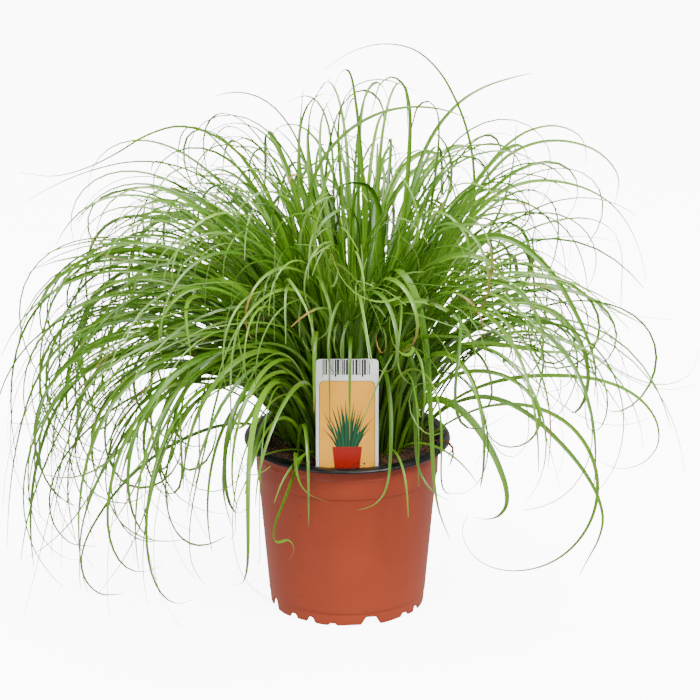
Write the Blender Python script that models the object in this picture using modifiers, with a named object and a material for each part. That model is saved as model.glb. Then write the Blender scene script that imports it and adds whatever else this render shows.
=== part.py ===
"""Potted grass-like papyrus in a 12 cm nursery pot, with a plastic plant label.

Metres, +Z up. The origin is the middle of the pot's underside and the label faces -Y.
Every leaf and shoot is a section carried along a line. The line is given by how far the
leaf leans from upright at even stations from its base to its tip.
"""
import math

import bmesh
import bpy
from mathutils import Matrix, Vector

MM = 0.001
GAP = 0.0003

# Pot: a tapered thermoformed shell with a flat rim, a plain band under it and a lobed foot.
POT_HEIGHT = 0.1035
POT_STEPS = 32
WALL = 0.0009
RIM_R = 0.060
RIM_EDGE_Z = 0.1000
NECK_R = 0.0527
NECK_Z = 0.0920
BAND_R = 0.0531
BAND_Z = 0.0808
BODY_TOP_R = 0.0521
BODY_FOOT_R = 0.0458
FOOT_CREASE_Z = 0.0073
FOOT_R = 0.0449
FLOOR_Z = 0.0066
PAD_R = 0.0140
PAD_SLOPE = 0.0035
DRAIN_RING_R = 0.0290
DRAIN_HOLE_R = 0.0035
DRAIN_HOLES = 6
DRAIN_SEGMENTS = 12
DRAIN_CUT_DEPTH = 0.0080

# Gaps between the lobes of the foot: angle from the front (positive to the right) in
# degrees, width at the ground in millimetres, and height in millimetres. Each narrows
# upwards and its top slopes a little.
GAP_CUT_DEPTH = 0.0120
GAP_CUT_OUTSIDE = 0.0030
GAP_TOP_SHARE = 0.55
GAP_TOP_SLOPE = 0.92
FOOT_GAPS = (
    (18, 11, 4.8), (48, 6, 2.0), (63, 6, 3.0), (92, 9, 5.0), (118, 6, 2.6), (140, 11, 4.8),
    (166, 5, 2.4), (190, 8, 4.0), (214, 6, 2.6), (238, 10, 4.8), (262, 6, 3.0),
    (291, 8, 6.0), (316, 6, 2.6), (332, 5, 3.2), (349, 5, 1.4),
)

# Potting soil: fills the pot almost to its rim, with a heap at the right.
SOIL_STEPS = 26
SOIL_TOP_Z = 0.0955
SOIL_CROWN_RISE = 0.0020
SOIL_CROWN_SPREAD = 0.0300
SOIL_HEAP_RISE = 0.0060
SOIL_HEAP_X = 0.0485
SOIL_HEAP_Y = 0.0030
SOIL_HEAP_SPREAD = 0.0085

# Plant label: a flat plastic tag, its point pushed into the soil behind the front rim.
LABEL_WIDTH = 0.0355
LABEL_THICK = 0.0008
LABEL_TOP_Z = 0.1635
LABEL_SHOULDER_Z = 0.0900
LABEL_POINT_Z = 0.0660
LABEL_POINT_WIDTH = 0.0060
LABEL_CORNER_R = 0.0045
LABEL_CORNER_STEPS = 5
LABEL_Y = -0.0462
LABEL_SLOT_ROOM = 0.0006

# A brown root that hangs over the rim beside the heap.
ROOT_R = 0.0006
ROOT_POINTS = (
    (49.0, -14.0, 104.4), (53.5, -16.5, 105.0), (58.0, -19.0, 104.9), (61.2, -21.5, 102.4),
    (61.0, -24.5, 98.6), (59.3, -27.5, 95.6), (58.8, -29.0, 92.4),
)

# Plant
CROWN_X = 0.0035
CROWN_Y = 0.0010
RINGS_PER_STATION = 2
LEAF_THICK = 0.0005
TIP_WIDTH = 0.0004
SHOOT_RINGS = 11
SHOOT_SIDES = 5
SHOOT_TIP_R = 0.0006
SHOOT_TAPER = 0.8
BASE_WIDTH_SHARE = 0.55
FULL_WIDTH_AT = 0.3
STEPS_PER_RING = 8

# Leaves: heading in degrees (0 right, 90 back, 180 left, 270 front), base radius, length
# and width in millimetres, roll in degrees, turn of the heading by the tip in degrees,
# and the leans from upright in degrees at even stations.
LEAVES = (
    # upper left
    (177, 18, 318, 4.0, 40, 0, (3, 8, 12, 17, 27, 62, 124, 114, 72)),
    (157, 15, 300, 3.2, 35, 0, (6, 14, 22, 32, 48, 78, 104, 116, 124)),
    (183, 22, 274, 3.4, 50, 0, (12, 20, 30, 44, 66, 92, 120, 150, 176)),
    (153, 28, 280, 3.0, 40, 0, (18, 28, 40, 56, 78, 102, 126, 150, 170)),
    (204, 27, 258, 3.6, 45, 0, (20, 32, 46, 64, 86, 108, 134, 160, 188)),
    # lower left
    (201, 37, 207, 4.2, 50, 0, (34, 68, 98, 112, 126, 140, 154, 205, 284)),
    (210, 34, 282, 5.6, 60, 0, (9, 14, 22, 38, 102, 166, 176, 190, 198)),
    (230, 24, 275, 4.4, 60, 0, (16, 22, 32, 66, 148, 160, 158, 176, 228)),
    (180, 38, 234, 3.2, 40, 0, (32, 50, 78, 108, 126, 138, 160, 202, 284)),
    (175, 32, 242, 3.0, 45, 0, (28, 44, 62, 84, 106, 130, 152, 168, 178)),
    (226, 38, 120, 3.0, 60, 0, (14, 24, 50, 120, 150, 150, 142, 190, 110)),
    (242, 40, 104, 3.6, 34, -34, (26, 54, 96, 134, 139, 138, 140, 165, 285, 200, 130)),
    # top
    (20, 15, 314, 2.0, 60, 0, (28, 28, 27, 19, 1, -18, -36, -90, -130)),
    (6, 15, 250, 4.2, 60, 0, (4, 5, 6, 7, 7, 7, 6, 6, 5, 4, 2, -2, -24, -162, -168)),
    (331, 15, 244, 4.6, 55, 0, (14, 15, 15, 15, 14, 14, 13, 12, 11, 9, 6, 4, -13, -162, -166)),
    (30, 16, 258, 3.4, 60, 0, (3, 6, 8, 10, 13, 20, 46, 78, 88)),
    (70, 9, 262, 3.4, 50, 0, (8, 8, 7, 5, 2, -2, -5, -8, -12, -17, -23, -100, -160)),
    (168, 9, 270, 4.0, 50, 0, (6, 8, 10, 9, 2, -30, -56, -86, -114)),
    (196, 12, 194, 3.6, 45, 0, (6, 9, 10, 9, 4, -6, -16, -26, -56)),
    (216, -14, 226, 5.0, 35, 0, (-6, -5, -4, -2, 1, 12, 96, 124, 130)),
    (228, -21, 168, 4.8, 25, 0, (-10, -12, -12, -8, 20, 100, 115, 125, 130)),
    (82, 15, 248, 3.2, 20, 0, (6, 11, 16, 22, 30, 44, 70, 100, 134)),
    # upper right
    (2, 18, 256, 3.0, 50, 0, (9, 13, 17, 20, 24, 28, 45, 95, 195)),
    (353, 19, 280, 3.4, 45, 0, (10, 14, 18, 21, 25, 34, 78, 122, 210)),
    (25, 22, 296, 3.2, 40, 0, (12, 17, 22, 30, 52, 95, 118, 150, 170)),
    (339, 21, 272, 5.4, 60, 0, (10, 14, 18, 22, 48, 118, 146, 156, 190)),
    (62, 16, 285, 3.2, 35, 0, (10, 16, 22, 32, 48, 76, 108, 134, 152)),
    # lower right
    (358, 34, 222, 3.2, 40, 0, (35, 50, 70, 86, 95, 118, 160, 240, 310)),
    (334, 34, 208, 3.4, 50, 0, (34, 42, 64, 104, 126, 135, 155, 205, 205)),
    (341, 38, 282, 2.8, 50, 0, (42, 52, 66, 86, 113, 146, 175, 200, 222, 246, 272, 325, 398)),
    (318, 36, 162, 5.2, 40, 0, (14, 24, 50, 100, 128, 144, 160, 236, 272)),
    (302, 12, 290, 5.8, 0, 0, (2, 5, 10, 34, 146, 170, 175, 172, 126)),
    (299, 26, 190, 4.0, 10, 36, (10, 11, 12, 13, 20, 104, 172, 178, 178, 174, 130, 98)),
    (296, 17, 174, 3.0, 0, -90, (4, 5, 6, 8, 30, 116, 138, 150, 162, 172, 156, 106, 86)),
    # back
    (103, 22, 296, 3.6, 20, 0, (12, 18, 28, 42, 66, 92, 116, 138, 156)),
    (128, 30, 268, 3.4, 30, 0, (22, 34, 50, 74, 100, 122, 142, 160, 186)),
    (77, 30, 262, 3.8, 20, 0, (20, 32, 48, 72, 100, 126, 150, 170, 200)),
    (102, 37, 206, 3.2, 15, 0, (34, 52, 80, 112, 136, 152, 168, 200, 240)),
)

# Shoots: heading, base radius, length, base radius of the bundle, and leans. Each stands
# for a sheathed bundle of fine leaves and reaches to their tips.
SHOOTS = (
    (13, 29, 268, 4.2, (10, 16, 25, 40, 65, 96, 122, 148, 168)),
    (39, 28, 282, 4.0, (8, 13, 19, 30, 48, 78, 108, 134, 156)),
    (64, 29, 275, 4.0, (10, 16, 24, 38, 60, 90, 118, 142, 165)),
    (90, 28, 285, 4.0, (6, 11, 17, 26, 42, 68, 98, 126, 150)),
    (116, 29, 280, 4.0, (10, 16, 25, 40, 64, 92, 118, 142, 162)),
    (141, 29, 300, 4.2, (12, 18, 27, 41, 62, 88, 112, 136, 158)),
    (166, 30, 290, 4.4, (12, 19, 29, 44, 68, 96, 122, 148, 172)),
    (193, 31, 280, 4.4, (16, 25, 37, 54, 78, 106, 132, 158, 180)),
    (220.5, 31, 272, 4.2, (14, 22, 34, 54, 84, 112, 136, 156, 178)),
    (238, 29, 245, 3.8, (10, 16, 26, 44, 74, 108, 138, 160, 182)),
    (269, 27, 205, 3.0, (3, 6, 10, 17, 30, 54, 84, 112, 130)),
    (309, 29, 240, 3.6, (6, 11, 18, 32, 58, 96, 132, 158, 178)),
    (328, 29, 262, 4.0, (10, 16, 25, 42, 70, 104, 132, 154, 174)),
    (348, 29, 275, 4.2, (14, 21, 31, 47, 74, 102, 128, 150, 170)),
)


def make_collections():
    """The model's collection, and one for the cutters."""
    for thing in list(bpy.data.objects):
        bpy.data.objects.remove(thing)
    made = []
    for name in ("potted_papyrus", "cutters"):
        group = bpy.data.collections.new(name)
        bpy.context.scene.collection.children.link(group)
        made.append(group)
    return made


def material(name, colour, roughness):
    """A plain Principled finish; nothing on this plant or pot is metal."""
    made = bpy.data.materials.new(name)
    made.use_nodes = True
    shader = made.node_tree.nodes["Principled BSDF"]
    shader.inputs["Base Color"].default_value = (*colour, 1.0)
    shader.inputs["Roughness"].default_value = roughness
    shader.inputs["Metallic"].default_value = 0.0
    return made


def add_object(name, bm, group, finish):
    """Turn a bmesh into a smooth-shaded object of the model."""
    mesh = bpy.data.meshes.new(name)
    bm.to_mesh(mesh)
    bm.free()
    mesh.shade_smooth()
    mesh.set_sharp_from_angle(angle=math.radians(35))
    mesh.materials.append(finish)
    thing = bpy.data.objects.new(name, mesh)
    group.objects.link(thing)
    return thing


def add_cutter(name, bm, group):
    """A body that only cuts others, and is left out of the model."""
    mesh = bpy.data.meshes.new(name)
    bm.to_mesh(mesh)
    bm.free()
    cutter = bpy.data.objects.new(name, mesh)
    cutter.hide_render = True
    cutter.display_type = "WIRE"
    group.objects.link(cutter)
    return cutter


def cut(thing, cutter):
    """Take the cutter out of the object."""
    boolean = thing.modifiers.new("cut_" + cutter.name, "BOOLEAN")
    boolean.operation = "DIFFERENCE"
    boolean.solver = "EXACT"
    boolean.object = cutter


def pot_profile():
    """The pot's closed section as (radius, height), from the rim down the outside."""
    inner_floor = FLOOR_Z + WALL
    return (
        (RIM_R - 0.0042, POT_HEIGHT),
        (RIM_R - 0.0008, POT_HEIGHT - 0.0002),
        (RIM_R, POT_HEIGHT - 0.0010),
        (RIM_R, RIM_EDGE_Z),
        (RIM_R - WALL, RIM_EDGE_Z),
        (RIM_R - WALL, POT_HEIGHT - 0.0013),
        (NECK_R + 0.0015, POT_HEIGHT - 0.0017),
        (NECK_R, POT_HEIGHT - 0.0032),
        (NECK_R, NECK_Z + 0.0003),
        (BAND_R, NECK_Z),
        (BAND_R - 0.0003, BAND_Z),
        (BODY_TOP_R, BAND_Z - 0.0003),
        (BODY_FOOT_R, FOOT_CREASE_Z + 0.0004),
        (FOOT_R + 0.0004, FOOT_CREASE_Z - 0.0003),
        (FOOT_R, 0.0),
        (FOOT_R - WALL, 0.0),
        (FOOT_R - WALL, FLOOR_Z),
        (PAD_R + PAD_SLOPE, FLOOR_Z),
        (PAD_R, 0.0),
        (0.0, 0.0),
        (0.0, WALL),
        (PAD_R - WALL / 2, WALL),
        (PAD_R + PAD_SLOPE - WALL / 2, inner_floor),
        (BODY_FOOT_R - WALL - 0.0009, inner_floor),
        (BODY_FOOT_R - WALL, inner_floor + 0.0010),
        (BODY_TOP_R - WALL, BAND_Z),
        (NECK_R - WALL, NECK_Z),
        (NECK_R - WALL, POT_HEIGHT - 0.0030),
        (NECK_R + 0.0008, POT_HEIGHT - 0.0008),
    )


def add_pot(group, cutters, finish):
    """The turned shell, with gaps cut in its foot and drain holes in its floor."""
    bm = bmesh.new()
    points = [bm.verts.new((r, 0.0, z)) for r, z in pot_profile()]
    for one, other in zip(points, points[1:] + points[:1]):
        if one.co.x > 0.0 or other.co.x > 0.0:
            bm.edges.new((one, other))
    pot = add_object("pot", bm, group, finish)
    screw = pot.modifiers.new("turn", "SCREW")
    screw.axis = "Z"
    screw.steps = POT_STEPS
    screw.render_steps = POT_STEPS
    screw.use_merge_vertices = True
    screw.merge_threshold = 0.00001
    for number, (angle, width, height) in enumerate(FOOT_GAPS, 1):
        bm = bmesh.new()
        bmesh.ops.create_cube(bm, size=1.0)
        bmesh.ops.scale(bm, vec=(width * MM, GAP_CUT_DEPTH, 2 * height * MM), verts=bm.verts)
        for corner in bm.verts:
            if corner.co.z > 0.0:
                corner.co.x *= GAP_TOP_SHARE
            if corner.co.z > 0.0 and corner.co.x > 0.0:
                corner.co.z *= GAP_TOP_SLOPE
        bmesh.ops.translate(bm, vec=(0.0, -FOOT_R - GAP_CUT_OUTSIDE, 0.0), verts=bm.verts)
        turn = Matrix.Rotation(math.radians(angle), 4, "Z")
        bmesh.ops.transform(bm, matrix=turn, verts=bm.verts)
        cut(pot, add_cutter(f"foot_gap_{number:02d}", bm, cutters))
    bm = bmesh.new()
    for hole in range(DRAIN_HOLES):
        angle = 2 * math.pi * (hole + 0.5) / DRAIN_HOLES
        x = DRAIN_RING_R * math.cos(angle)
        y = DRAIN_RING_R * math.sin(angle)
        bmesh.ops.create_cone(
            bm, cap_ends=True, segments=DRAIN_SEGMENTS, radius1=DRAIN_HOLE_R,
            radius2=DRAIN_HOLE_R, depth=DRAIN_CUT_DEPTH, matrix=Matrix.Translation((x, y, FLOOR_Z)),
        )
    cut(pot, add_cutter("drain_holes", bm, cutters))
    return pot


def soil_height(x, y):
    """Height of the soil's top: a low rise in the middle and a heap at the right."""
    middle = math.exp(-((x - CROWN_X) ** 2 + (y - CROWN_Y) ** 2) / SOIL_CROWN_SPREAD ** 2)
    heap = math.exp(-((x - SOIL_HEAP_X) ** 2 + (y - SOIL_HEAP_Y) ** 2) / SOIL_HEAP_SPREAD ** 2)
    return SOIL_TOP_Z + SOIL_CROWN_RISE * middle + SOIL_HEAP_RISE * heap


def add_soil(group, cutters, finish):
    """A turned plug that fills the pot, with its top raised and a slot for the label."""
    side = NECK_R - WALL - GAP
    inner_floor = FLOOR_Z + WALL + GAP
    profile = [(r * MM, SOIL_TOP_Z) for r in (0, 12, 24, 36, 46)]
    profile += [
        (side - 0.0003, SOIL_TOP_Z),
        (BODY_TOP_R - WALL - GAP - 0.0002, BAND_Z),
        (BODY_FOOT_R - WALL - GAP - 0.0010, inner_floor + 0.0015),
        (PAD_R + PAD_SLOPE - WALL / 2 - GAP, inner_floor),
        (PAD_R - WALL / 2 - GAP, WALL + GAP),
        (0.0, WALL + GAP),
    ]
    bm = bmesh.new()
    points = [bm.verts.new((r, 0.0, z)) for r, z in profile]
    lines = [bm.edges.new(pair) for pair in zip(points, points[1:])]
    bmesh.ops.spin(
        bm, geom=points + lines, axis=(0, 0, 1), cent=(0, 0, 0), angle=2 * math.pi,
        steps=SOIL_STEPS, use_merge=True,
    )
    bmesh.ops.remove_doubles(bm, verts=bm.verts, dist=0.00001)
    bmesh.ops.recalc_face_normals(bm, faces=bm.faces)
    for point in bm.verts:
        if point.co.z > SOIL_TOP_Z - 0.00001:
            point.co.z = soil_height(point.co.x, point.co.y)
    soil = add_object("soil", bm, group, finish)
    slot = label_outline(LABEL_SLOT_ROOM)
    cut(soil, slab("label_slot", slot, LABEL_THICK + 2 * LABEL_SLOT_ROOM, cutters, None))
    return soil


def label_outline(room=0.0):
    """The tag's outline as (x, z): a rounded top, straight sides and a blunt point."""
    half = LABEL_WIDTH / 2 + room
    outline = [
        (-half, LABEL_SHOULDER_Z), (-LABEL_POINT_WIDTH / 2 - room, LABEL_POINT_Z - room),
        (LABEL_POINT_WIDTH / 2 + room, LABEL_POINT_Z - room), (half, LABEL_SHOULDER_Z),
    ]
    for side, first in ((1, 0), (-1, 90)):
        for step in range(LABEL_CORNER_STEPS + 1):
            angle = math.radians(first + 90 * step / LABEL_CORNER_STEPS)
            centre = side * (half - LABEL_CORNER_R)
            outline.append((
                centre + LABEL_CORNER_R * math.cos(angle),
                LABEL_TOP_Z - LABEL_CORNER_R + LABEL_CORNER_R * math.sin(angle),
            ))
    return outline


def slab(name, outline, thick, group, finish):
    """A flat sheet that stands upright at the label's place."""
    bm = bmesh.new()
    front = [bm.verts.new((x, LABEL_Y - thick / 2, z)) for x, z in outline]
    face = bm.faces.new(front)
    grown = bmesh.ops.extrude_face_region(bm, geom=[face])
    moved = [part for part in grown["geom"] if isinstance(part, bmesh.types.BMVert)]
    bmesh.ops.translate(bm, vec=(0.0, thick, 0.0), verts=moved)
    bmesh.ops.recalc_face_normals(bm, faces=bm.faces)
    if finish is None:
        return add_cutter(name, bm, group)
    return add_object(name, bm, group, finish)


def add_root(group, finish):
    """A thin root as a swept tube with filled ends."""
    line = bpy.data.curves.new("root_strand", "CURVE")
    line.dimensions = "3D"
    line.bevel_depth = ROOT_R
    line.bevel_resolution = 1
    line.use_fill_caps = True
    spline = line.splines.new("POLY")
    spline.points.add(len(ROOT_POINTS) - 1)
    for point, place in zip(spline.points, ROOT_POINTS):
        point.co = (*(value * MM for value in place), 1.0)
    line.materials.append(finish)
    strand = bpy.data.objects.new("root_strand", line)
    group.objects.link(strand)
    return strand


def lean_at(leans, along):
    """The lean in radians at a share of the length, read between its stations."""
    place = along * (len(leans) - 1)
    low = min(int(place), len(leans) - 2)
    share = place - low
    return math.radians(leans[low] * (1.0 - share) + leans[low + 1] * share)


def growth_line(heading, base_r, length, leans, turn, rings, lift=0.0):
    """Evenly spaced (point, direction, sideways) along a leaf, from its base to its tip."""
    count = (rings - 1) * STEPS_PER_RING
    first = math.radians(heading)
    x = CROWN_X + base_r * math.cos(first)
    y = CROWN_Y + base_r * math.sin(first)
    point = Vector((x, y, soil_height(x, y) + 2 * GAP + lift))
    line = []
    for step in range(count + 1):
        along = step / count
        lean = lean_at(leans, along)
        facing = math.radians(heading + turn * along ** 3)
        outward = Vector((math.cos(facing), math.sin(facing), 0.0))
        sideways = Vector((-outward.y, outward.x, 0.0))
        direction = outward * math.sin(lean) + Vector((0.0, 0.0, math.cos(lean)))
        if step % STEPS_PER_RING == 0:
            line.append((point.copy(), direction, sideways))
        point = point + direction * (length / count)
    return line


def leaf_width(along, width):
    """A narrow base, the full width from a third of the way, and a long fine tip."""
    base = BASE_WIDTH_SHARE + (1.0 - BASE_WIDTH_SHARE) * min(1.0, along / FULL_WIDTH_AT)
    tip = (1.0 - along ** 2.6) ** 0.9
    return TIP_WIDTH + (width - TIP_WIDTH) * base * tip


def loft(name, rings, group, finish):
    """One closed body through a row of unlike sections with the same corner count."""
    bm = bmesh.new()
    loops = [[bm.verts.new(corner) for corner in ring] for ring in rings]
    count = len(loops[0])
    for lower, upper in zip(loops, loops[1:]):
        for side in range(count):
            after = (side + 1) % count
            bm.faces.new((lower[side], lower[after], upper[after], upper[side]))
    bm.faces.new(reversed(loops[0]))
    bm.faces.new(loops[-1])
    bmesh.ops.recalc_face_normals(bm, faces=bm.faces)
    return add_object(name, bm, group, finish)


def add_leaf(name, spec, group, finish):
    """A keeled blade: a flat diamond section that narrows to both ends."""
    heading, base_r, length, width, roll, turn, leans = spec
    rings = []
    count = RINGS_PER_STATION * (len(leans) - 1) + 1
    line = growth_line(heading, base_r * MM, length * MM, leans, turn, count)
    for number, (point, direction, sideways) in enumerate(line):
        along = number / (count - 1)
        rolled = Matrix.Rotation(math.radians(roll) * min(1.0, 3 * along), 3, direction)
        across = rolled @ sideways
        facing = across.cross(direction)
        half = leaf_width(along, width * MM) / 2
        thick = LEAF_THICK / 2 * (1.0 - 0.5 * along)
        rings.append((
            point + across * half, point + facing * thick,
            point - across * half, point - facing * thick,
        ))
    return loft(name, rings, group, finish)


def add_shoot(name, spec, group, finish):
    """A slender horn, as thick as the bundle of fine leaves that it stands for."""
    heading, base_r, length, radius, leans = spec
    rings = []
    lift = radius * MM * math.sin(math.radians(leans[0]))
    line = growth_line(heading, base_r * MM, length * MM, leans, 0.0, SHOOT_RINGS, lift)
    for number, (point, direction, sideways) in enumerate(line):
        along = number / (SHOOT_RINGS - 1)
        facing = sideways.cross(direction)
        size = SHOOT_TIP_R + (radius * MM - SHOOT_TIP_R) * (1.0 - along) ** SHOOT_TAPER
        corners = []
        for side in range(SHOOT_SIDES):
            angle = 2 * math.pi * side / SHOOT_SIDES
            corners.append(point + size * (sideways * math.cos(angle) + facing * math.sin(angle)))
        rings.append(corners)
    return loft(name, rings, group, finish)


def main():
    group, cutters = make_collections()
    plastic = material("terracotta_plastic", (0.50, 0.09, 0.04), 0.45)
    peat = material("peat", (0.035, 0.018, 0.010), 0.95)
    tag = material("white_plastic", (0.85, 0.85, 0.84), 0.35)
    green = material("leaf_green", (0.12, 0.28, 0.03), 0.40)
    sheath = material("sheath_green", (0.07, 0.17, 0.02), 0.50)
    add_pot(group, cutters, plastic)
    add_soil(group, cutters, peat)
    slab("label", label_outline(), LABEL_THICK, group, tag)
    add_root(group, peat)
    for number, spec in enumerate(SHOOTS, 1):
        add_shoot(f"shoot_{number:02d}", spec, group, sheath)
    for number, spec in enumerate(LEAVES, 1):
        add_leaf(f"leaf_{number:02d}", spec, group, green)


main()
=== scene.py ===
"""Potted grass-like papyrus in a terracotta-coloured nursery pot: the looks.

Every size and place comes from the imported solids. Broad leaves follow the solids' own middle
lines. The fine leaves of each sheathed shoot are grown here in place of its solid.
"""
import math

import bmesh
import bpy
import numpy as np
from mathutils import Matrix, Vector, noise


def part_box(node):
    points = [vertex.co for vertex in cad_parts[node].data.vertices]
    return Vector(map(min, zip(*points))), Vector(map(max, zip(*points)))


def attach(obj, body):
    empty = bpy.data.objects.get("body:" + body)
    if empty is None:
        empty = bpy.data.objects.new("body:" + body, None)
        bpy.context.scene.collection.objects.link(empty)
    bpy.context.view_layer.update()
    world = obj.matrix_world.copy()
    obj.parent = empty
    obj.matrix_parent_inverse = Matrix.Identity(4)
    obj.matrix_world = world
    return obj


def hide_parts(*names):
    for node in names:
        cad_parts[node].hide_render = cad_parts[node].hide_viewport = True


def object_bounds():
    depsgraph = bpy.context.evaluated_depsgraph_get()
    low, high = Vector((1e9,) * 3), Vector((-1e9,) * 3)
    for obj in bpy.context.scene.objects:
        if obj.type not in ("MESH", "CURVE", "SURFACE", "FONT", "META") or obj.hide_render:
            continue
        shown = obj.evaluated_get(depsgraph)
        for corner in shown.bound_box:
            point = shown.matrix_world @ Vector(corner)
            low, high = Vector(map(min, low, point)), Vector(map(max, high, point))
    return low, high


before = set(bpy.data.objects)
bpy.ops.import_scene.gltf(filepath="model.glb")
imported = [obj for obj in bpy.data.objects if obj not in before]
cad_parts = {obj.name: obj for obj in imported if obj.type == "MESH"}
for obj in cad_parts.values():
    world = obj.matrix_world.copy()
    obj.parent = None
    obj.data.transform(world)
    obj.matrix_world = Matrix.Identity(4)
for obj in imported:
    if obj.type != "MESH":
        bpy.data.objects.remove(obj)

CAD_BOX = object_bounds()
MM = 0.001

# Camera: level with the rim's far edge, a little above, with a long lens.
VIEW_TARGET = Vector((0.0016, 0.0, 0.1537))
VIEW_DISTANCE = 2.2
VIEW_ELEVATION = 18.3
LENS_MM = 196.0

# Blade meshes: cells across, and rows from base to tip.
BROAD_CELLS = 4
BROAD_ROWS = 56
FINE_CELLS = 2
FINE_ROWS = 17
CURL_ROWS = 34
LEAF_THICK = 0.28 * MM
# A leaf whose lean changes by more than this between two stations gets the finer template.
CURL_BEND = math.radians(26)
TIP_WIDTH = 0.4 * MM

# Mean height of the soil's top.
SOIL_TOP_Z = 95.5 * MM
PEAT_TOP_Z = 98.0 * MM

WALL = 0.9 * MM
FOOT_R = 44.9 * MM

# Gaps between the lobes of the pot's foot: angle from the front in degrees (positive to the
# right), width at the ground and height in millimetres.
FOOT_GAPS = (
    (18, 11, 4.8), (48, 6, 2.0), (63, 6, 3.0), (92, 9, 5.0), (118, 6, 2.6), (140, 11, 4.8),
    (166, 5, 2.4), (190, 8, 4.0), (214, 6, 2.6), (238, 10, 4.8), (262, 6, 3.0),
    (291, 8, 6.0), (316, 6, 2.6), (332, 5, 3.2), (349, 5, 1.4),
)

# Single leaves at the front of the plant: base x and y in mm, heading in degrees, length and
# width in mm, turn and roll in degrees, and leans from upright at even stations.
STRAYS = (
    (3, -18, 268, 158, 2.8, 0, 10, (5, 6, 8, 10, 30, 120, 168, 176, 178)),
    (-9, -16, 266, 140, 1.6, 10, -20, (3, 4, 6, 8, 22, 100, 164, 176, 180)),
    (-17, -22, 268, 146, 4.2, 0, 15, (4, 6, 8, 12, 20, 60, 160, 178, 178)),
    (-28, -28, 280, 104, 2.4, -16, -20, (8, 20, 42, 80, 128, 156, 168, 174, 178)),
    (42, -14, 240, 150, 1.5, 0, 20, (-8, -6, 0, 16, 62, 116, 132, 136, 134)),
    (-28, -35, 262, 66, 2.2, 95, 30, (20, 40, 76, 108, 130, 122, 108, 100, 104)),
    (-26, -18, 224, 98, 3.4, 0, 20, (5, 10, 22, 62, 132, 154, 160, 162, 164)),
    (-16, -30, 200, 64, 1.9, 0, -30, (34, 54, 76, 90, 100, 108, 118, 128, 134)),
    (-14, -32, 236, 60, 1.7, 0, 20, (26, 46, 72, 94, 106, 118, 130, 140, 146)),
    (26, -22, 330, 66, 2.0, 0, -20, (30, 50, 70, 88, 100, 112, 124, 134, 140)),
    (20, -30, 290, 68, 1.8, 0, 10, (26, 44, 68, 92, 118, 142, 160, 170, 174)),
)


# ---------------------------------------------------------------- materials

def linear(hex_colour):
    """An sRGB hex colour as linear red, green, blue and alpha."""
    parts = [int(hex_colour[place:place + 2], 16) / 255 for place in (1, 3, 5)]
    return (*(p / 12.92 if p <= 0.04045 else ((p + 0.055) / 1.055) ** 2.4 for p in parts), 1.0)


def node(material, kind, links=(), **settings):
    """Add a shader node. Settings go to its properties, or to its inputs by name; links are
    (input name or number, source socket)."""
    made = material.node_tree.nodes.new("ShaderNode" + kind)
    for name, value in settings.items():
        if hasattr(made, name):
            setattr(made, name, value)
        else:
            made.inputs[name.replace("_", " ")].default_value = value
    for name, source in links:
        material.node_tree.links.new(source, made.inputs[name])
    return made


def new_material(name, **shader_values):
    """A material with one Principled shader, its constants set on the shader's own sockets."""
    material = bpy.data.materials.new(name)
    material.use_nodes = True
    shader = material.node_tree.nodes["Principled BSDF"]
    for socket, value in shader_values.items():
        shader.inputs[socket.replace("_", " ")].default_value = value
    return material, shader


def join(material, source, target):
    material.node_tree.links.new(source, target)


def ramp(material, source, stops):
    """A colour ramp with (place, hex) stops, read from a value."""
    made = node(material, "ValToRGB", [("Fac", source)])
    elements = made.color_ramp.elements
    while len(elements) < len(stops):
        elements.new(0.5)
    for element, (place, colour) in zip(elements, stops):
        element.position = place
        element.color = linear(colour)
    return made.outputs["Color"]


def leaf_cuticle(name, base, middle, light, tip):
    """Living sedge leaf with a waxy cuticle: satin and ribbed by parallel veins; darkest low on the
    blade, a painted shade of the crown, and greyer towards its fine tip, which may be dry."""
    material, shader = new_material(name, Roughness=0.33, IOR=1.45, Specular_IOR_Level=0.48,
                                    Subsurface_Weight=0.1,
                                    Subsurface_Radius=(0.4, 1.0, 0.12), Subsurface_Scale=0.0006)
    along = node(material, "Attribute", attribute_name="along").outputs["Fac"]
    across = node(material, "Attribute", attribute_name="across_mm").outputs["Fac"]
    tone = node(material, "Attribute", attribute_name="tone").outputs["Fac"]
    dry = node(material, "Attribute", attribute_name="dry").outputs["Fac"]
    # The first stop is painted shade: the blade is darkest low down, where the crown shades it. The greyer tip
    # is the leaf's own colour.
    painted_shade_and_tip_colour = ramp(material, along, ((0.0, base), (0.22, middle), (0.7, middle), (1.0, tip)))
    mixed = node(material, "Mix", data_type="RGBA", links=[("Factor", tone), (6, painted_shade_and_tip_colour)])
    mixed.inputs[7].default_value = linear(light)
    # Veins about a third of a millimetre apart, drawn from the place across the blade.
    vein_place = node(material, "Math", [(0, across)], operation="MULTIPLY")
    vein_place.inputs[1].default_value = 2 * math.pi / 0.62
    vein = node(material, "Math", [(0, vein_place.outputs[0])], operation="COSINE")
    vein_share = node(material, "MapRange", [("Value", vein.outputs[0])])
    vein_share.inputs["From Min"].default_value = -1.0
    vein_share.inputs["To Min"].default_value = 0.93
    vein_share.inputs["To Max"].default_value = 1.05
    veined = node(material, "Mix", data_type="RGBA", blend_type="MULTIPLY",
                  links=[(6, mixed.outputs[2]), (7, vein_share.outputs[0])])
    veined.inputs[0].default_value = 1.0
    # The straw colour of a dried tip.
    dried = node(material, "Mix", data_type="RGBA", links=[("Factor", dry), (6, veined.outputs[2])])
    dried.inputs[7].default_value = linear("#7E5E2C")
    join(material, dried.outputs[2], shader.inputs["Base Color"])
    bump = node(material, "Bump", [("Height", vein.outputs[0])], Strength=0.18, Distance=0.00006)
    join(material, bump.outputs["Normal"], shader.inputs["Normal"])
    return material


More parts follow.
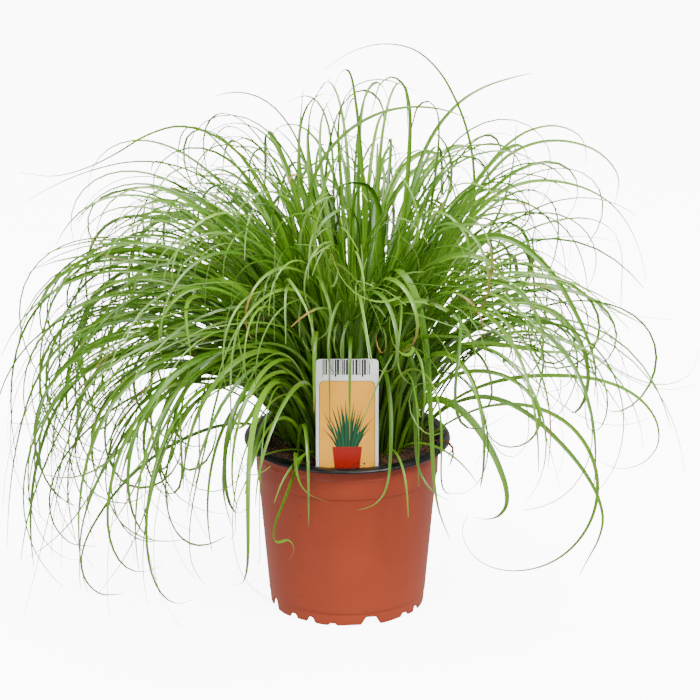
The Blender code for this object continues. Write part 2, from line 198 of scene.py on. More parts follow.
def pot_plastic():
    """Thermoformed polystyrene, terracotta coloured: even satin skin with a faint flow mottle
    and a few specks of dried soil."""
    material, shader = new_material("terracotta_polystyrene_thermoformed", IOR=1.55, Specular_IOR_Level=0.3)
    place = node(material, "TexCoord").outputs["Object"]
    mottle = node(material, "TexNoise", [("Vector", place)], Scale=38.0, Detail=4.0)
    colour = ramp(material, mottle.outputs["Fac"], ((0.3, "#8E361C"), (0.7, "#93391E")))
    grain = node(material, "TexNoise", [("Vector", place)], Scale=2400.0, Detail=2.0)
    # Specks of dried soil about half a millimetre across, a few to a hand's breadth.
    specks = node(material, "TexVoronoi", [("Vector", place)], Scale=130.0, Randomness=1.0)
    near = node(material, "Math", [(0, specks.outputs["Distance"])], operation="LESS_THAN")
    near.inputs[1].default_value = 0.05
    soiled = node(material, "Mix", data_type="RGBA", links=[("Factor", near.outputs[0]), (6, colour)])
    soiled.inputs[7].default_value = linear("#3A150C")
    join(material, soiled.outputs[2], shader.inputs["Base Color"])
    rough = node(material, "MapRange", [("Value", mottle.outputs["Fac"])])
    rough.inputs["To Min"].default_value = 0.38
    rough.inputs["To Max"].default_value = 0.50
    join(material, rough.outputs[0], shader.inputs["Roughness"])
    bump = node(material, "Bump", [("Height", grain.outputs["Fac"])], Strength=0.12, Distance=0.00005)
    join(material, bump.outputs["Normal"], shader.inputs["Normal"])
    return material


def rim_plastic():
    """The black inner layer of the same sheet: smoother, with dust that dulls it in patches."""
    material, shader = new_material("black_polystyrene_thermoformed", IOR=1.55, Specular_IOR_Level=0.3)
    place = node(material, "TexCoord").outputs["Object"]
    dust = node(material, "TexNoise", [("Vector", place)], Scale=140.0, Detail=6.0)
    colour = ramp(material, dust.outputs["Fac"], ((0.5, "#0B0C0D"), (0.8, "#24211E")))
    join(material, colour, shader.inputs["Base Color"])
    rough = node(material, "MapRange", [("Value", dust.outputs["Fac"])])
    rough.inputs["To Min"].default_value = 0.24
    rough.inputs["To Max"].default_value = 0.46
    join(material, rough.outputs[0], shader.inputs["Roughness"])
    return material


def peat():
    """Moist milled peat: matt dark brown crumbs with paler fibres and a few damp dark clods."""
    material, shader = new_material("milled_peat_moist", Roughness=0.92)
    place = node(material, "TexCoord").outputs["Object"]
    clods = node(material, "TexNoise", [("Vector", place)], Scale=260.0, Detail=8.0, Roughness=0.7)
    colour = ramp(material, clods.outputs["Fac"],
                  ((0.3, "#0E0704"), (0.46, "#2C180B"), (0.59, "#5C371F"), (0.74, "#94643F")))
    join(material, colour, shader.inputs["Base Color"])
    bump = node(material, "Bump", [("Height", clods.outputs["Fac"])], Strength=0.8, Distance=0.0006)
    join(material, bump.outputs["Normal"], shader.inputs["Normal"])
    return material


def plain(name, colour, roughness, ior=1.5, mottle_to=None, scale=300.0):
    """A finish of one colour with a faint unevenness of the print, skin or sheet."""
    material, shader = new_material(name, Roughness=roughness, IOR=ior)
    place = node(material, "TexCoord").outputs["Object"]
    uneven = node(material, "TexNoise", [("Vector", place)], Scale=scale, Detail=3.0)
    tint = ramp(material, uneven.outputs["Fac"], ((0.35, colour), (0.7, mottle_to or colour)))
    join(material, tint, shader.inputs["Base Color"])
    return material


# The first colour of each leaf is painted shade, for the dark low in the crown.
LEAF = leaf_cuticle("sedge_leaf_waxy_cuticle", "#1C3402", "#3A6408", "#6A9420", "#5E7E34")
FINE_LEAF = leaf_cuticle("fine_sedge_leaf_waxy_cuticle", "#192F02", "#365E08", "#648C20", "#667F44")
POT = pot_plastic()
RIM = rim_plastic()
PEAT = peat()
TAG = plain("white_polystyrene_sheet", "#F6F6F4", 0.32, 1.57, "#F2F2F0")
INK_BLACK = plain("black_printing_ink", "#121214", 0.4)
INK_ORANGE = plain("yellow_orange_printing_ink", "#FFB030", 0.45, 1.3, "#FFB63A", 60.0)
INK_BROWN = plain("brown_printing_ink", "#4A2E10", 0.4)
INK_RED = plain("red_printing_ink", "#A01808", 0.4)
INK_GREEN = plain("deep_green_printing_ink", "#083E22", 0.4)
INK_LEAF = plain("light_green_printing_ink", "#0E5A34", 0.4)
ROOT = plain("dry_brown_root", "#4A2816", 0.85, 1.4, "#6B4026", 900.0)


# ---------------------------------------------------------------- pieces

def finish_piece(name, bm_or_mesh, materials, replaced=(), sharp=50):
    """A named object at the origin, smooth shaded, riding on the one body."""
    if isinstance(bm_or_mesh, bmesh.types.BMesh):
        mesh = bpy.data.meshes.new(name)
        bm_or_mesh.to_mesh(mesh)
        bm_or_mesh.free()
    else:
        mesh = bm_or_mesh
    mesh.shade_smooth()
    mesh.set_sharp_from_angle(angle=math.radians(sharp))
    for material in materials:
        mesh.materials.append(material)
    piece = bpy.data.objects.new(name, mesh)
    bpy.context.scene.collection.objects.link(piece)
    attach(piece, "root")
    if replaced:
        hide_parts(*replaced)
    return piece


# ---------------------------------------------------------------- pot

def foot_edge(angle):
    """Height of the foot's scalloped lower edge at an angle from the front, in degrees."""
    height = 0.0
    for middle, width, rise in FOOT_GAPS:
        half = math.degrees(width * MM / 2 / FOOT_R)
        away = abs((angle - middle + 180) % 360 - 180)
        flat = half * 0.45
        reach = half * 1.15
        if away < reach:
            share = 1.0 - max(0.0, min(1.0, (away - flat) / (reach - flat)))
            height = max(height, rise * MM * share * share * (3 - 2 * share))
    lobes = 0.3 * MM * (1 + math.sin(math.radians(angle * 9 + 40)))
    return min(height + lobes, 7.0 * MM)


def make_pot():
    """The pot's shell: a spun section with a rolled rim, sharp mould lines and a lobed foot."""
    low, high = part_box("pot")
    rim = high.x
    top = high.z
    neck = rim - 7.3 * MM
    band = neck + 0.4 * MM
    body = neck - 0.6 * MM
    foot = FOOT_R
    # The terracotta side, from under the rim to the middle of the base.
    outside = [
        (rim - 0.5 * MM, 99.9 * MM), (rim - 1.0 * MM, 100.1 * MM), (rim - 1.4 * MM, 101.3 * MM),
        (neck + 3.0 * MM, 101.5 * MM), (neck + 1.0 * MM, 100.9 * MM), (neck + 0.2 * MM, 99.8 * MM),
        (neck, 98.4 * MM), (neck, 93.6 * MM), (neck + 0.05 * MM, 92.6 * MM),
        (band - 0.1 * MM, 92.2 * MM), (band, 91.9 * MM), (band, 91.4 * MM),
        (band - 0.1 * MM, 86.0 * MM), (band - 0.3 * MM, 81.1 * MM), (band - 0.4 * MM, 80.75 * MM),
        (body + 0.1 * MM, 80.35 * MM), (body, 79.9 * MM),
        (50.85 * MM, 66.0 * MM), (49.35 * MM, 49.0 * MM), (47.8 * MM, 31.0 * MM), (46.55 * MM, 17.0 * MM),
        (45.95 * MM, 10.0 * MM), (45.8 * MM, 8.0 * MM), (45.6 * MM, 7.5 * MM), (45.35 * MM, 7.2 * MM),
        (45.3 * MM, 6.6 * MM), (foot + 0.4 * MM, 5.5 * MM), (foot + 0.35 * MM, 4.4 * MM),
        (foot + 0.3 * MM, 3.3 * MM), (foot + 0.2 * MM, 2.2 * MM), (foot + 0.1 * MM, 1.1 * MM),
        (foot, 0.3 * MM), (foot - 0.3 * MM, 0.0),
        (foot - 0.7 * MM, 0.0), (foot - WALL, 0.3 * MM), (foot - WALL, 1.1 * MM),
        (foot - WALL, 2.2 * MM), (foot - WALL, 3.3 * MM), (foot - WALL, 4.4 * MM),
        (foot - WALL, 5.5 * MM), (foot - 1.4 * MM, 6.6 * MM), (36 * MM, 6.6 * MM),
        (30 * MM, 6.6 * MM), (24 * MM, 6.6 * MM), (17.8 * MM, 6.6 * MM),
        (17.1 * MM, 6.0 * MM), (14.3 * MM, 0.3 * MM), (13.6 * MM, 0.0), (0.0, 0.0),
    ]
    # The black side, from the middle of the base up the inside and over the rim.
    inside = [
        (0.0, WALL), (13.2 * MM, WALL), (16.6 * MM, 7.2 * MM), (17.6 * MM, 7.5 * MM),
        (24 * MM, 7.5 * MM), (30 * MM, 7.5 * MM), (36 * MM, 7.5 * MM),
        (43.6 * MM, 7.5 * MM), (44.9 * MM, 8.8 * MM), (body - WALL, 80.0 * MM),
        (neck - WALL, 92.0 * MM), (neck - WALL, 98.6 * MM), (neck - 0.6 * MM, 100.2 * MM),
        (neck + 0.1 * MM, 101.5 * MM), (neck + 1.2 * MM, 102.7 * MM), (neck + 2.6 * MM, 103.3 * MM),
        (neck + 3.8 * MM, top), (neck + 5.0 * MM, 103.35 * MM), (rim - 1.3 * MM, 102.9 * MM),
        (rim - 0.6 * MM, 102.3 * MM), (rim - 0.15 * MM, 101.5 * MM), (rim, 100.7 * MM),
        (rim - 0.05 * MM, 100.1 * MM), (rim - 0.25 * MM, 99.85 * MM),
    ]
    bm = bmesh.new()
    is_black = bm.verts.layers.int.new("is_black")
    points = [bm.verts.new((r, 0.0, z)) for r, z in outside + inside]
    for point in points[len(outside) - 1:]:
        point[is_black] = 1
    points[0][is_black] = 1
    lines = [bm.edges.new(pair) for pair in zip(points, points[1:] + points[:1])
             if pair[0].co.x > 0 or pair[1].co.x > 0]
    bmesh.ops.spin(bm, geom=points + lines, axis=(0, 0, 1), cent=(0, 0, 0),
                   angle=-2 * math.pi, steps=360, use_merge=True)
    bmesh.ops.remove_doubles(bm, verts=bm.verts, dist=0.00001)
    bmesh.ops.recalc_face_normals(bm, faces=bm.faces)
    for face in bm.faces:
        face.material_index = int(all(vert[is_black] for vert in face.verts))
    for vert in bm.verts:
        radius = math.hypot(vert.co.x, vert.co.y)
        angle = math.degrees(math.atan2(vert.co.x, -vert.co.y))
        if radius > foot - 1.2 * MM and vert.co.z < 6.5 * MM:
            edge = min(6.4 * MM, foot_edge(angle))
            vert.co.z = edge + vert.co.z * (6.6 * MM - edge) / (6.6 * MM)
        if vert.co.z > 96 * MM:
            # The thin rim isn't flat: it dips a little at the front.
            dip = max(0.0, math.cos(math.radians(angle))) ** 2
            rise = max(0.0, vert.co.z - 100 * MM)
            vert.co.z -= dip * (0.5 * MM * min(1.0, (vert.co.z - 96 * MM) / (4 * MM)) + 0.45 * rise)
            vert.co.z += 0.15 * MM * math.sin(math.radians(angle * 3 + 20)) - 0.15 * MM
    return finish_piece("nursery_pot", bm, [POT, RIM], ["pot"], 35)


# ---------------------------------------------------------------- soil

def soil_relief(x, y):
    """Crumbly relief of the soil's top, in metres about its mean height."""
    coarse = noise.noise(Vector((x, y, 0.3)) * 90) * 1.3 * MM
    fine = noise.noise(Vector((x, y, 7.1)) * 420) * 0.8 * MM
    heap = math.exp(-((x - 0.0485) ** 2 + (y - 0.003) ** 2) / 0.0085 ** 2)
    middle = math.exp(-(x * x + y * y) / 0.03 ** 2)
    return coarse + fine + 6 * MM * heap + 2 * MM * middle


def make_soil():
    """The plug of peat: a spun body with a crumbly top."""
    low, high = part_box("soil")
    edge = high.x
    rings = 46
    profile = [(edge * step / rings, PEAT_TOP_Z) for step in range(rings + 1)]
    profile += [(edge - 0.4 * MM, 80 * MM), (44.0 * MM, 9.4 * MM), (0.0, 8.4 * MM)]
    bm = bmesh.new()
    points = [bm.verts.new((r, 0.0, z)) for r, z in profile]
    lines = [bm.edges.new(pair) for pair in zip(points, points[1:])]
    bmesh.ops.spin(bm, geom=points + lines, axis=(0, 0, 1), cent=(0, 0, 0),
                   angle=2 * math.pi, steps=150, use_merge=True)
    bmesh.ops.remove_doubles(bm, verts=bm.verts, dist=0.00001)
    bmesh.ops.recalc_face_normals(bm, faces=bm.faces)
    for vert in bm.verts:
        if vert.co.z > PEAT_TOP_Z - 0.1 * MM:
            vert.co.z = PEAT_TOP_Z + soil_relief(vert.co.x, vert.co.y)
    return finish_piece("potting_peat", bm, [PEAT], ["soil"], 40)


def make_crumbs(rng):
    """Loose crumbs of peat on the soil's top, and some that fell on the rim."""
    low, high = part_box("soil")
    edge = high.x
    bm = bmesh.new()
    bmesh.ops.create_icosphere(bm, subdivisions=1, radius=1.0)
    template = bpy.data.meshes.new("crumb")
    bm.to_mesh(template)
    bm.free()
    corners = np.array([v.co[:] for v in template.vertices])
    bm = bmesh.new()
    places = []
    for number in range(2300):
        on_rim = number < 90
        if on_rim:
            angle = math.radians(rng.normal(2, 14) if number < 66 else rng.normal(-82, 5))
            radius = rng.uniform(52, 58) * MM
        else:
            angle = rng.uniform(0, 2 * math.pi)
            radius = math.sqrt(rng.uniform(0.12, 1)) * (edge - 0.8 * MM)
        x = radius * math.cos(angle)
        y = radius * math.sin(angle)
        size = min(3.4, rng.lognormal(-0.15, 0.55)) * MM * (0.7 if on_rim else 1.0) * 0.5
        ground = 103.4 * MM if on_rim else PEAT_TOP_Z + soil_relief(x, y)
        turn = np.array(Matrix.Rotation(rng.uniform(0, 6.28), 3, Vector(rng.normal(size=3)).normalized()))
        stretch = np.array([rng.uniform(0.6, 1.5), rng.uniform(0.6, 1.3), rng.uniform(0.5, 0.9)])
        ragged = 1 + 0.2 * rng.normal(size=(len(corners), 1))
        places.append(np.array([x, y, ground]) + (corners * stretch * ragged * size) @ turn.T)
        bm.from_mesh(template)
    mesh = bpy.data.meshes.new("loose_peat_crumbs")
    bm.to_mesh(mesh)
    bm.free()
    mesh.vertices.foreach_set("co", np.concatenate(places).astype(np.float32).ravel())
    mesh.update()
    return finish_piece("loose_peat_crumbs", mesh, [PEAT])


def make_root():
    """The dry root over the rim: a tapering tube along its solid, with one side root."""
    low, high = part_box("root_strand")
    centre = (low + high) / 2
    size = high - low
    bm = bmesh.new()
    # Each point is a share of the solid's box from its middle, with the root's radius there.
    main = ((-0.45, 0.47, 0.28, 0.5), (-0.15, 0.3, 0.42, 0.75), (0.2, 0.14, 0.41, 0.8),
            (0.42, -0.02, 0.22, 0.7), (0.44, -0.2, -0.06, 0.6), (0.34, -0.36, -0.28, 0.45),
            (0.28, -0.45, -0.44, 0.25))
    fork = ((0.43, -0.1, 0.12, 0.5), (0.3, -0.02, -0.05, 0.35), (0.22, 0.06, -0.25, 0.2))
    for route in (main, fork):
        rings = []
        for step in range(8 * (len(route) - 1) + 1):
            first = min(step // 8, len(route) - 2)
            share = step / 8 - first
            a, b = (np.array(route[first]), np.array(route[first + 1]))
            x, y, z, radius = a + (b - a) * (3 - 2 * share) * share * share
            place = centre + Vector((x * size.x, y * size.y, z * size.z))
            place += 0.25 * MM * noise.noise_vector(place * 900)
            ahead = Vector((b - a)[:3] * np.array(size)).normalized()
            turn = ahead.to_track_quat("Z", "Y").to_matrix().to_4x4()
            made = bmesh.ops.create_circle(bm, segments=7, radius=radius * MM,
                                           matrix=Matrix.Translation(place) @ turn)
            rings.append(made["verts"])
        edges = [[e for e in bm.edges if e.verts[0] in ring and e.verts[1] in ring] for ring in rings]
        for one, other in zip(edges, edges[1:]):
            bmesh.ops.bridge_loops(bm, edges=one + other)
        bmesh.ops.holes_fill(bm, edges=edges[0] + edges[-1], sides=0)
    bmesh.ops.recalc_face_normals(bm, faces=bm.faces)
    return finish_piece("dry_root", bm, [ROOT], ["root_strand"], 60)


# ---------------------------------------------------------------- label

def flat_outline(bm, outline, y, thick, material_index):
    """A flat closed shape standing in the label's plane, from an outline of (x, z)."""
    verts = [bm.verts.new((x, y, z)) for x, z in outline]
    face = bm.faces.new(verts)
    grown = bmesh.ops.extrude_face_region(bm, geom=[face])
    moved = [part for part in grown["geom"] if isinstance(part, bmesh.types.BMVert)]
    bmesh.ops.translate(bm, vec=(0.0, thick, 0.0), verts=moved)
    made = {f for v in verts + moved for f in v.link_faces}
    bmesh.ops.recalc_face_normals(bm, faces=list(made))
    for part in made:
        part.material_index = material_index


def rounded_top(left, right, bottom, top, radius, steps=8):
    """An upright rectangle's outline with its two upper corners rounded."""
    outline = [(left, bottom), (right, bottom)]
    for centre, first in ((right - radius, 0), (left + radius, 90)):
        for step in range(steps + 1):
            angle = math.radians(first + 90 * step / steps)
            outline.append((centre + radius * math.cos(angle), top - radius + radius * math.sin(angle)))
    return outline


def make_label():
    """The white tag with its printing: a band of bars, an orange panel, and a grass tuft."""
    low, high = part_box("label")
    half = high.x
    top = high.z
    front = low.y
    shoulder = 90 * MM
    bm = bmesh.new()
    outline = rounded_top(-half, half, shoulder, top, 2.4 * MM)
    outline[0:2] = [(-half, shoulder), (-3 * MM, low.z), (3 * MM, low.z), (half, shoulder)]
    flat_outline(bm, outline, front, high.y - low.y, 0)
    ink = 0.03 * MM
    panel_top = top - 13.0 * MM
    panel_half = 15.6 * MM
    border = rounded_top(-panel_half - 0.3 * MM, panel_half + 0.3 * MM, shoulder, panel_top + 0.3 * MM, 3.0 * MM)
    flat_outline(bm, border, front - ink, ink * 0.8, 2)
    flat_outline(bm, rounded_top(-panel_half, panel_half, shoulder, panel_top, 2.8 * MM),
                 front - 2 * ink, ink * 0.8, 1)
    # Upright bars of uneven width that encode nothing, cut off by the tag's upper edge.
    place = -14.0 * MM
    for number in range(40):
        width = (0.30 + 0.30 * ((number * 5) % 4)) * MM
        gap = (0.30 + 0.22 * ((number * 7) % 3)) * MM
        if place + width > 13.8 * MM:
            break
        foot = top - (9.2 if number % 6 else 10.4) * MM
        bar = [(place, foot), (place + width, foot), (place + width, top - 0.1 * MM),
               (place, top - 0.1 * MM)]
        flat_outline(bm, bar, front - ink, ink * 0.8, 3)
        place += width + gap
    # A plain grass tuft in a red pot.
    ground = top - 53.5 * MM
    for number in range(31):
        share = (number * 11 % 31) / 30 * 2 - 1
        tall = (22 - 9 * abs(share) + 3.0 * ((number * 7) % 4)) * MM
        root = share * 5.2 * MM
        lean = share * 9.5 * MM
        blade = [(root - 0.55 * MM, ground), (root + 0.55 * MM, ground),
                 (root + lean * 0.42 + 0.5 * MM, ground + tall * 0.55), (root + lean, ground + tall),
                 (root + lean * 0.42 - 0.5 * MM, ground + tall * 0.55)]
        flat_outline(bm, blade, front - (3 + 0.25 * number) * ink, ink * 0.2, 4 + number % 2)
    pot = [(-6.2 * MM, shoulder + 0.3 * MM), (6.2 * MM, shoulder + 0.3 * MM), (8.4 * MM, ground + 1.2 * MM), (-8.4 * MM, ground + 1.2 * MM)]
    flat_outline(bm, pot, front - 12 * ink, ink, 6)
    materials = [TAG, INK_ORANGE, INK_BROWN, INK_BLACK, INK_GREEN, INK_LEAF, INK_RED]
    return finish_piece("plant_label", bm, materials, ["label"], 30)


# ---------------------------------------------------------------- leaves

def blade_template(cells, rows):
    """A flat unit blade: x across from -1 to 1, y along from 0 to 1, z the two sides."""
    bm = bmesh.new()
    bmesh.ops.create_grid(bm, x_segments=cells, y_segments=rows, size=1.0)
    bmesh.ops.transform(bm, matrix=Matrix.Translation((0, 1, 0)), verts=bm.verts)
    bmesh.ops.scale(bm, vec=(1.0, 0.5, 1.0), verts=bm.verts)
    grown = bmesh.ops.extrude_face_region(bm, geom=bm.faces[:], use_keep_orig=True)
    moved = [part for part in grown["geom"] if isinstance(part, bmesh.types.BMVert)]
    bmesh.ops.translate(bm, vec=(0, 0, 1), verts=moved)
    # The two sides meet in a sharp edge: the blade's margin.
    margin = [v for v in bm.verts if abs(v.co.x) > 0.99]
    bmesh.ops.scale(bm, vec=(1.0, 1.0, 0.0), space=Matrix.Translation((0, 0, -0.5)), verts=margin)
    bmesh.ops.remove_doubles(bm, verts=margin, dist=0.0001)
    bmesh.ops.recalc_face_normals(bm, faces=bm.faces)
    mesh = bpy.data.meshes.new("blade_template")
    bm.to_mesh(mesh)
    bm.free()
    places = np.empty(len(mesh.vertices) * 3)
    mesh.vertices.foreach_get("co", places)
    places = places.reshape(-1, 3)
    return {"mesh": mesh, "rows": rows, "x": places[:, 0], "side": places[:, 2],
            "row": np.rint(places[:, 1] * rows).astype(int)}


def unit(vectors):
    return vectors / np.maximum(np.linalg.norm(vectors, axis=1, keepdims=True), 1e-9)


def lay_blade(template, line, across, width, keel, tone, dry_from):
    """Vertex places and surface values of one blade laid along its middle line."""
    rows = template["rows"]
    share = np.linspace(0.0, 1.0, rows + 1)
    direction = unit(np.gradient(line, axis=0))
    across = unit(across - direction * np.sum(across * direction, axis=1, keepdims=True))
    facing = np.cross(across, direction)
    row = template["row"]
    x = template["x"]
    half = width[row] / 2
    thick = LEAF_THICK * (1 - 0.5 * share[row]) * (1 - 0.75 * x * x)
    lift = keel[row] * np.abs(x) * half + (template["side"] - 0.5) * thick
    places = line[row] + across[row] * (x * half)[:, None] + facing[row] * lift[:, None]
    dry = np.clip((share[row] - dry_from) / 0.06, 0, 1)
    return {"mesh": template["mesh"], "places": places, "across_mm": x * half / MM, "along": share[row],
            "tone": np.full(len(x), tone), "dry": dry}


def make_foliage(name, blades, material, replaced):
    """One mesh of blades: copies of their templates with the vertices laid in place."""
    bm = bmesh.new()
    for blade in blades:
        bm.from_mesh(blade["mesh"])
    mesh = bpy.data.meshes.new(name)
    bm.to_mesh(mesh)
    bm.free()
    places = np.concatenate([blade["places"] for blade in blades])
    mesh.vertices.foreach_set("co", places.astype(np.float32).ravel())
    for key in ("across_mm", "along", "tone", "dry"):
        values = np.concatenate([blade[key] for blade in blades]).astype(np.float32)
        mesh.attributes.new(key, "FLOAT", "POINT").data.foreach_set("value", values)
    mesh.update()
    return finish_piece(name, mesh, [material], replaced)


def solid_rings(node_name, corners):
    """A swept solid's sections from its base to its tip, each an array of corner places. A
    section at a sharp fold may have a corner or two more than the others."""
    middle = Vector((0.0, 0.0, SOIL_TOP_Z - 8 * MM))
    bm = bmesh.new()
    bm.from_mesh(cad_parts[node_name].data)
    bmesh.ops.remove_doubles(bm, verts=bm.verts, dist=0.00001)
    ring = sorted(bm.verts, key=lambda v: (v.co - middle).length)[:corners]
    seen = set(ring)
    rings = []
    while ring:
        rings.append(np.array([v.co[:] for v in ring]))
        ring = list({e.other_vert(v) for v in ring for e in v.link_edges} - seen)
        seen |= set(ring)
    bm.free()
    return rings


def smooth_through(points, rows):
    """A smooth line through evenly spaced points, read at rows + 1 places."""
    count = len(points)
    padded = np.vstack([2 * points[0] - points[1], points, 2 * points[-1] - points[-2]])
    made = []
    for place in np.linspace(0, count - 1, rows + 1):
        first = min(int(place), count - 2)
        t = place - first
        a, b, c, d = padded[first:first + 4]
        made.append(0.5 * (2 * b + (c - a) * t + (2 * a - 5 * b + 4 * c - d) * t * t
                           + (3 * b - a - 3 * c + d) * t ** 3))
    return np.array(made)


def blade_width(width, rows, base=0.6, fullest=0.3):
    """Width along a blade: narrower at the base, full from a third up, with a long fine tip."""
    share = np.linspace(0, 1, rows + 1)
    lower = base + (1 - base) * np.minimum(1, share / fullest)
    return TIP_WIDTH + (width - TIP_WIDTH) * lower * (1 - share ** 2.6) ** 0.9


def broad_leaf(name, template, rng):
    """A broad leaf's blade along its own solid, with a folded keel that opens upwards."""
    rings = solid_rings(name, 4)
    middles = np.array([ring.mean(axis=0) for ring in rings])
    sides = []
    widths = []
    last = None
    for ring in rings:
        pairs = [(np.linalg.norm(ring[a] - ring[b]), a, b) for a in range(len(ring)) for b in range(a)]
        width, one, other = max(pairs)
        side = (ring[one] - ring[other]) / width
        if last is not None and side @ last < 0:
            side = -side
        sides.append(side)
        if len(ring) == 4:
            widths.append(width)
        last = side
    rows = template["rows"]
    line = smooth_through(middles, rows)
    across = smooth_through(np.array(sides), rows)
    direction = unit(np.gradient(line, axis=0))
    # The keel opens towards the middle of the plant at the leaf's base.
    if np.cross(across[0], direction[0]) @ np.array([line[0][0], line[0][1], 0.0]) > 0:
        across = -across
    share = np.linspace(0, 1, rows + 1)
    width = blade_width(max(widths), rows)
    keel = 0.8 - 0.35 * share
    line[0] -= direction[0] * 2 * MM
    tone = rng.uniform(0.15, 0.75)
    blade = lay_blade(template, line, across, width, keel, tone, rng.choice([0.97, 0.9, 1.1]))
    return make_foliage(name + "_blade", [blade], LEAF, [name])


def lean_profile(middles):
    """A shoot's heading, and its leans from upright at even stations, in radians."""
    span = middles[-1] - middles[0]
    heading = math.atan2(span[1], span[0])
    outward = np.array([math.cos(heading), math.sin(heading), 0.0])
    direction = unit(np.diff(middles, axis=0))
    leans = np.unwrap(np.arctan2(direction @ outward, direction[:, 2]))
    return heading, leans


def grow(base, heading, length, leans, turn, roll, rows):
    """A leaf's middle line and its sideways direction, grown from its leans."""
    share = np.linspace(0, 1, rows + 1)
    lean = np.interp(share, np.linspace(0, 1, len(leans)), leans)
    lean = np.convolve(np.pad(lean, 2, mode="edge"), np.ones(5) / 5, mode="valid")
    facing = heading + turn * share ** 2.5
    outward = np.stack([np.cos(facing), np.sin(facing), np.zeros_like(facing)], axis=1)
    up = np.array([0.0, 0.0, 1.0])
    direction = outward * np.sin(lean)[:, None] + up * np.cos(lean)[:, None]
    steps = (direction[:-1] + direction[1:]) / 2 * (length / rows)
    line = base + np.vstack([np.zeros(3), np.cumsum(steps, axis=0)])
    sideways = np.stack([outward[:, 1], -outward[:, 0], np.zeros_like(facing)], axis=1)
    normal = np.cross(sideways, direction)
    angle = (roll * np.minimum(1, share * 2))[:, None]
    return line, sideways * np.cos(angle) + normal * np.sin(angle)


def is_clear(line):
    """Whether a leaf stays in the model's room and off the rim, the pot and the label."""
    low = np.array(CAD_BOX[0]) - 8 * MM
    high = np.array(CAD_BOX[1]) + 8 * MM
    low[2] = 16 * MM
    if (line < low).any() or (line > high).any():
        return False
    radius = np.hypot(line[:, 0], line[:, 1])
    dome = (radius / 0.215) ** 2 + (np.maximum(line[:, 2] - 0.10, 0) / 0.221) ** 2
    if (dome > 1).any():
        return False
    rim_low, rim_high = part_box("pot")
    over_rim = (radius > 50 * MM) & (radius < rim_high.x + 2.5 * MM)
    inside = radius <= 50 * MM
    if (line[over_rim, 2] < rim_high.z + 1.2 * MM).any() or (line[inside, 2][1:] < 97 * MM).any():
        return False
    tag_low, tag_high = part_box("label")
    before_tag = (np.abs(line[:, 0]) < tag_high.x + 2 * MM) & (line[:, 1] < tag_high.y + 2 * MM)
    return not (line[before_tag, 2] < tag_high.z + 3 * MM).any()


def fine_leaves(shoot, count, curly, droop, rng, fine, curled):
    """The fine leaves of one sheathed shoot: some fan out about its middle line, some stand up
    from the middle of the plant, and some droop past the rim."""
    middles = np.array([ring.mean(axis=0) for ring in solid_rings(shoot, 5)])
    heading, leans = lean_profile(middles)
    length = np.linalg.norm(np.diff(middles, axis=0), axis=1).sum()
    stations = np.linspace(0, 1, len(leans))
    blades = []
    tries = 0
    while len(blades) < count and tries < count * 40:
        tries += 1
        aim = heading + math.radians(rng.normal(0, 19))
        turn = math.radians(rng.normal(0, 25))
        spot = rng.normal(0, 3.6 * MM, size=2)
        base = middles[0].copy()
        habit = rng.random()
        if habit < 0.31:
            bent = leans * rng.uniform(0.18, 0.66) + math.radians(rng.normal(0, 4)) * stations
            bent = bent + math.radians(rng.uniform(0, 150)) * np.clip((stations - 0.7) / 0.3, 0, 1) ** 1.5
            size = length * rng.uniform(0.62, 1.06)
            base[:2] *= rng.uniform(0.25, 0.9)
        elif habit < 0.31 + droop:
            bent = leans * rng.uniform(1.0, 1.4) + math.radians(rng.uniform(5, 30)) * stations
            bent = np.minimum(bent, math.radians(rng.uniform(150, 172)))
            swing = math.radians(rng.choice([-80, -40, 30, 60, 110]) + rng.normal(0, 14))
            bent = bent + swing * np.clip((stations - 0.68) / 0.32, 0, 1) ** 1.3
            size = length * rng.uniform(0.85, 1.15)
        else:
            bent = leans * math.exp(rng.normal(-0.1, 0.26)) + math.radians(rng.normal(0, 6)) * stations
            size = length * rng.uniform(0.65, 1.08)
        if rng.random() < curly:
            hook = math.radians(rng.choice([-1, 1], p=[0.35, 0.65]) * rng.uniform(50, 230))
            bent = bent + hook * np.clip((stations - 0.6) / 0.4, 0, 1) ** 1.6
            turn = math.radians(rng.normal(0, 60))
        wave = math.radians(rng.normal(0, 8))
        bent = bent + wave * np.sin(stations * rng.uniform(4, 9) + rng.uniform(0, 6)) * stations
        base = base + np.array([spot[0], spot[1], -2.5 * MM])
        roll = math.radians(rng.uniform(-65, 65))
        template = curled if np.abs(np.diff(bent)).max() > CURL_BEND else fine
        line, across = grow(base, aim, size, bent, turn, roll, template["rows"])
        if not is_clear(line):
            continue
        kind = rng.random()
        if kind < 0.30:
            width = rng.uniform(3.0, 4.4)
        elif kind < 0.78 or habit < 0.31:
            width = rng.uniform(1.9, 3.0)
        else:
            width = rng.uniform(0.9, 1.7)
        widths = blade_width(width * MM, template["rows"], base=max(0.6, 1.6 / width), fullest=0.25)
        keel = np.linspace(0.9, 0.4, template["rows"] + 1)
        tone = np.clip(rng.normal(0.35, 0.25), 0, 1)
        dry_from = rng.uniform(0.8, 0.97) if rng.random() < 0.12 else 1.2
        blades.append(lay_blade(template, line, across, widths, keel, tone, dry_from))
    return blades


def stray_leaves(template, rng):
    """The listed leaves that hang before the label and over the front of the rim."""
    rows = template["rows"]
    blades = []
    for x, y, heading, length, width, turn, roll, leans in STRAYS:
        base = np.array([x * MM, y * MM, SOIL_TOP_Z])
        line, across = grow(base, math.radians(heading), length * MM, np.radians(leans),
                            math.radians(turn), math.radians(roll), rows)
        widths = blade_width(width * MM, rows, base=0.7, fullest=0.25)
        keel = np.linspace(0.9, 0.4, rows + 1)
        blades.append(lay_blade(template, line, across, widths, keel, rng.uniform(0.2, 0.8),
                                rng.choice([0.92, 1.2])))
    return blades


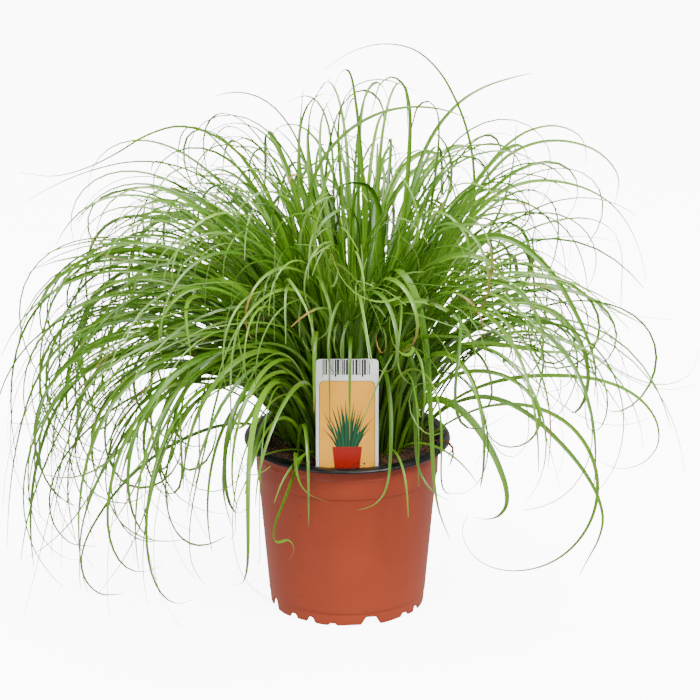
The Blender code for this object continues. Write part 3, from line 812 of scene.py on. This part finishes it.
def make_plant(rng):
    broad = blade_template(BROAD_CELLS, BROAD_ROWS)
    fine = blade_template(FINE_CELLS, FINE_ROWS)
    curled = blade_template(FINE_CELLS, CURL_ROWS)
    names = sorted(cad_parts)
    for name in names:
        if name.startswith("leaf_"):
            broad_leaf(name, broad, rng)
    strays = stray_leaves(curled, np.random.default_rng(3))
    make_foliage("stray_leaves", strays, LEAF, [])
    for name in names:
        if not name.startswith("shoot_"):
            continue
        low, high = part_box(name)
        to_left = -(low.x + high.x) / (high.x - low.x + high.y - low.y)
        count = int(55 + 24 * to_left)
        curly = 0.36 - 0.2 * to_left
        droop = 0.16 + 0.22 * to_left
        blades = fine_leaves(name, count, curly, droop, rng, fine, curled)
        make_foliage(name + "_fine_leaves", blades, FINE_LEAF, [name])


# ---------------------------------------------------------------- stage

def make_stage():
    """A plain pale floor, soft studio lights and the camera."""
    bm = bmesh.new()
    bmesh.ops.create_grid(bm, x_segments=1, y_segments=1, size=8.0)
    mesh = bpy.data.meshes.new("floor")
    bm.to_mesh(mesh)
    bm.free()
    floor = bpy.data.objects.new("floor", mesh)
    bpy.context.scene.collection.objects.link(floor)
    paper, shader = new_material("white_backdrop_paper", Roughness=0.9, Base_Color=linear("#E8E8E8"),
                                 Emission_Color=linear("#FFFFFF"), Emission_Strength=8.5)
    mesh.materials.append(paper)
    # The paper looks bright, as a lit backdrop does, but doesn't light the plant from below.
    floor.visible_diffuse = False
    floor.visible_glossy = False
    world = bpy.data.worlds.new("studio")
    bpy.context.scene.world = world
    world.use_nodes = True
    world.node_tree.nodes["Background"].inputs["Color"].default_value = (1, 1, 1, 1)
    world.node_tree.nodes["Background"].inputs["Strength"].default_value = 0.75
    for name, place, size, power in (
        ("key_softbox", (1.15, -1.3, 1.85), 0.9, 124),
        ("fill_softbox", (-1.5, -1.4, 0.9), 1.2, 43),
        ("top_softbox", (0.0, 0.2, 1.9), 1.0, 65),
    ):
        light = bpy.data.lights.new(name, "AREA")
        light.energy = power
        light.size = size
        lamp = bpy.data.objects.new(name, light)
        lamp.location = place
        lamp.rotation_euler = (Vector((0, 0, 0.15)) - lamp.location).to_track_quat("-Z", "Y").to_euler()
        bpy.context.scene.collection.objects.link(lamp)
    camera = bpy.data.objects.new("camera", bpy.data.cameras.new("camera"))
    camera.data.lens = LENS_MM
    camera.data.clip_end = 50
    tilt = math.radians(VIEW_ELEVATION)
    camera.location = VIEW_TARGET + Vector((0, -math.cos(tilt), math.sin(tilt))) * VIEW_DISTANCE
    camera.rotation_euler = (VIEW_TARGET - camera.location).to_track_quat("-Z", "Y").to_euler()
    bpy.context.scene.collection.objects.link(camera)
    bpy.context.scene.camera = camera


make_stage()
make_pot()
make_soil()
make_crumbs(np.random.default_rng(11))
make_root()
make_label()
make_plant(np.random.default_rng(5))
